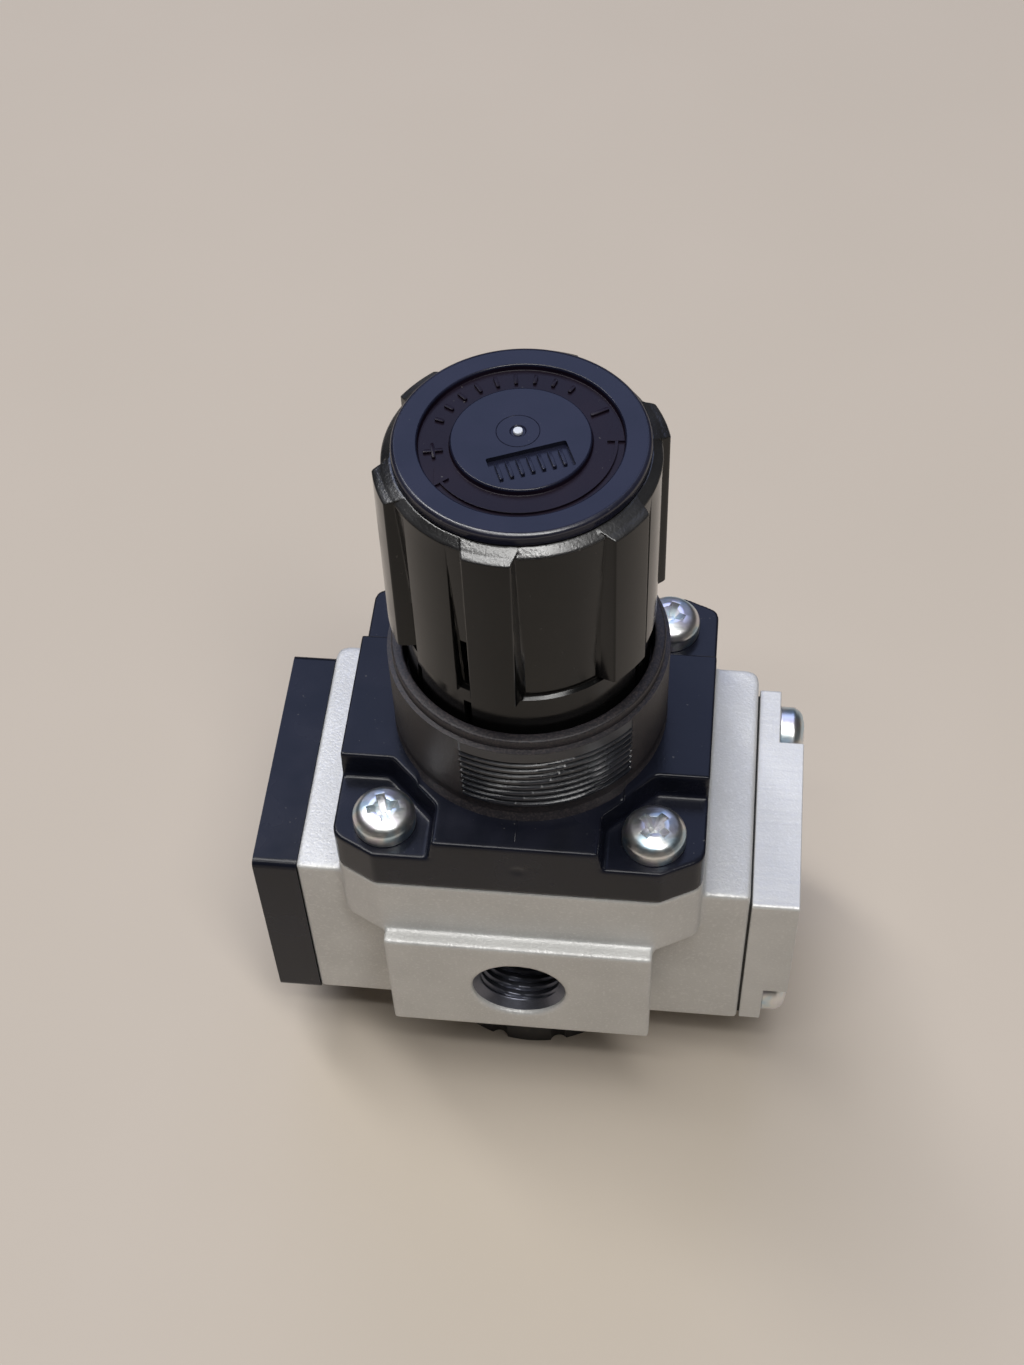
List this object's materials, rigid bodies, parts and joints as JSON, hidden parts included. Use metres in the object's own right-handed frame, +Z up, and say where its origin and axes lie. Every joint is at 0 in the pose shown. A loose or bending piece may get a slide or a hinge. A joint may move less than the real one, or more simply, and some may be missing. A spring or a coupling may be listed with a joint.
{
  "type": "air pressure regulator",
  "caption": "Modular air pressure regulator: cast body with in-line ports, spring bonnet with a panel nut thread, and a push-to-lock adjusting knob.",
  "frame": {"origin": "centre of the valve guide's flat foot, on the knob's axis", "axes": "+Z up the knob's axis, air flows along Y from the inlet at -Y to the outlet at +Y, side covers face -X and +X"},
  "size_m": [0.0776, 0.053, 0.1174],
  "materials": {
    "cast_paint": "silver paint with a fine sand texture over die-cast aluminium",
    "bonnet_plastic": "satin black moulded plastic",
    "knob_plastic": "glossy black moulded plastic",
    "cap_plastic": "satin blue-black moulded plastic",
    "guide_plastic": "matt black moulded plastic",
    "zinc_screw": "bright zinc plating with a faint blue tint",
    "turned_steel": "turned steel",
    "spring_steel": "drawn spring wire",
    "valve_brass": "turned brass",
    "seal_rubber": "black nitrile rubber"
  },
  "bodies": {
    "housing": {"body": "cast_paint", "bonnet": "bonnet_plastic", "bonnet_screws": "zinc_screw", "side_cover": "bonnet_plastic", "side_cover_screws": "zinc_screw", "cover_o_ring": "seal_rubber", "adapter_plate": "cast_paint", "adapter_gasket": "seal_rubber", "adapter_screws": "zinc_screw", "valve_guide": "guide_plastic", "guide_o_ring": "seal_rubber", "diaphragm": "seal_rubber", "valve_spring": "spring_steel", "adjusting_spring": "spring_steel"},
    "valve": {"valve_poppet": "valve_brass", "poppet_seal": "seal_rubber", "valve_stem": "turned_steel", "stem_o_ring": "seal_rubber"},
    "diaphragm_group": {"relief_seat": "valve_brass", "diaphragm_plate": "turned_steel", "diaphragm_nut": "valve_brass"},
    "spring_nut": {"spring_seat_nut": "valve_brass"},
    "screw": {"adjusting_screw": "turned_steel", "thrust_washer": "guide_plastic", "retaining_ring": "spring_steel"},
    "knob": {"knob": "knob_plastic", "knob_cap": "cap_plastic"}
  },
  "joints": [
    {"name": "knob_turn", "type": "hinge", "parent": "housing", "child": "screw", "pos_m": [0, 0, 0.0861], "axis": [0, 0, 1], "range_deg": [-1800, 0]},
    {"name": "knob_push", "type": "slide", "parent": "screw", "child": "knob", "axis": [0, 0, 1], "range_m": [-0.0025, 0]},
    {"name": "nut_travel", "type": "slide", "parent": "housing", "child": "spring_nut", "axis": [0, 0, 1], "range_m": [-0.00751, 0.00001], "deforming": ["adjusting_spring"]},
    {"name": "valve_lift", "type": "slide", "parent": "housing", "child": "valve", "axis": [0, 0, 1], "range_m": [-0.0015, 0], "stiffness_N_per_m": 1000, "springref_m": 0.002, "deforming": ["valve_spring", "diaphragm"]},
    {"name": "relief_lift", "type": "slide", "parent": "valve", "child": "diaphragm_group", "axis": [0, 0, 1], "range_m": [0, 0.0004]}
  ],
  "couplings": [
    {"joint": "nut_travel", "follows": "knob_turn", "m_per_rad": 0.00023873}
  ]
}
